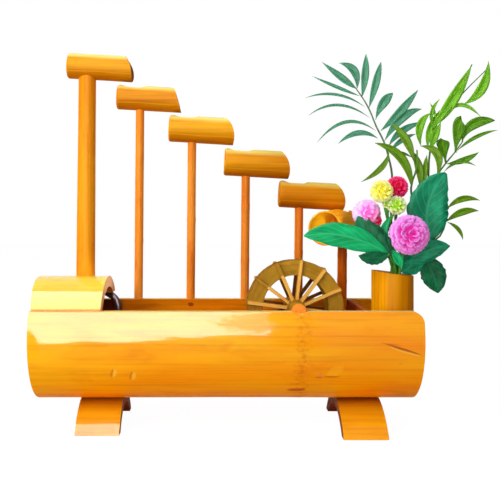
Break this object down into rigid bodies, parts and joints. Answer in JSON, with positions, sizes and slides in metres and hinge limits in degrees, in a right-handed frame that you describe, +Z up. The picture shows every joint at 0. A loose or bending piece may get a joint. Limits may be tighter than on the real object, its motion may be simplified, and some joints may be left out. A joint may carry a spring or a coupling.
{
  "type": "table-top bamboo water fountain",
  "caption": "Split-culm basin on arched feet with a rising stair of tube spouts on posts, a water wheel in the rim, a lift-off arched cover and a cup of artificial flowers.",
  "frame": {"origin": "on the ground under the middle of the whole part's box", "axes": "+X along the basin towards the flower cup, +Y away from the viewer towards the posts, +Z up"},
  "size_m": [0.408, 0.122, 0.3437],
  "materials": {
    "basin_bamboo": "clear varnish, glossy",
    "end_wood": "oiled, satin",
    "foot_bamboo": "clear varnish, glossy",
    "dowel": "bare, matt",
    "post_bamboo": "clear varnish, satin",
    "spout_bamboo": "clear varnish, glossy",
    "cup_bamboo": "clear varnish, glossy",
    "cover_bamboo": "clear varnish, glossy",
    "hose_rubber": "satin",
    "pump_plastic": "moulded, satin",
    "pin_steel": "ground",
    "cup_rubber": "matt",
    "axle_bamboo": "clear varnish, satin",
    "ring_bamboo": "oiled, satin",
    "spoke_bamboo": "bare, satin",
    "flower_cup_bamboo": "clear varnish, glossy",
    "foam_block": "open foam, matt",
    "palm_leaf": "waxed cloth, satin",
    "lime_leaf": "waxed cloth, satin",
    "olive_leaf": "waxed cloth, satin",
    "broad_leaf": "waxed cloth, satin",
    "petal_pink": "cloth, matt",
    "petal_pale": "cloth, matt",
    "petal_yellow": "cloth, matt",
    "petal_crimson": "cloth, matt"
  },
  "bodies": {
    "stand": {"trough": "basin_bamboo", "left_bulkhead": "end_wood", "right_bulkhead": "end_wood", "left_foot": "foot_bamboo", "right_foot": "foot_bamboo", "left_foot_pegs": "dowel", "right_foot_pegs": "dowel", "riser_post": "post_bamboo", "post_2": "post_bamboo", "post_3": "post_bamboo", "post_4": "post_bamboo", "post_5": "post_bamboo", "post_6": "post_bamboo", "spout_1": "spout_bamboo", "spout_2": "spout_bamboo", "spout_3": "spout_bamboo", "spout_4": "spout_bamboo", "spout_5": "spout_bamboo", "cup_spout": "cup_bamboo", "hose": "hose_rubber", "pump_housing": "pump_plastic", "pump_volute": "pump_plastic", "pump_screen": "pump_plastic", "pump_pin": "pin_steel", "pump_cups": "cup_rubber", "pump_gland": "cup_rubber", "vase_seat": "end_wood", "vase_peg": "dowel", "vase": "flower_cup_bamboo"},
    "wheel": {"axle": "axle_bamboo", "front_hub": "ring_bamboo", "back_hub": "ring_bamboo", "front_ring": "ring_bamboo", "back_ring": "ring_bamboo", "front_spokes": "spoke_bamboo", "back_spokes": "spoke_bamboo", "paddles": "ring_bamboo"},
    "cover": {"cover": "cover_bamboo"},
    "rotor": {"pump_rotor": "pump_plastic"},
    "bouquet": {"foam": "foam_block", "palm_sprig": "palm_leaf", "lime_sprig": "lime_leaf", "olive_sprig": "olive_leaf", "fan_sprig": "olive_leaf", "low_sprig": "olive_leaf", "broad_sprig": "broad_leaf", "ball_flower": "petal_pink", "pale_flower": "petal_pale", "yellow_flower": "petal_yellow", "crimson_flower": "petal_crimson"}
  },
  "joints": [
    {"name": "wheel_spin", "type": "hinge", "parent": "stand", "child": "wheel", "pos_m": [0.0242, 0.00042, 0.1046], "axis": [0, 0.9994, -0.0349], "continuous": true},
    {"name": "cover_lift", "type": "slide", "parent": "stand", "child": "cover", "axis": [0, 0, 1], "range_m": [0, 0.06]},
    {"name": "bouquet_lift", "type": "slide", "parent": "stand", "child": "bouquet", "axis": [0, 0, 1], "range_m": [0, 0.09]},
    {"name": "rotor_spin", "type": "hinge", "parent": "stand", "child": "rotor", "pos_m": [-0.1445, -0.00058, 0.05], "axis": [1, 0, 0], "continuous": true}
  ]
}
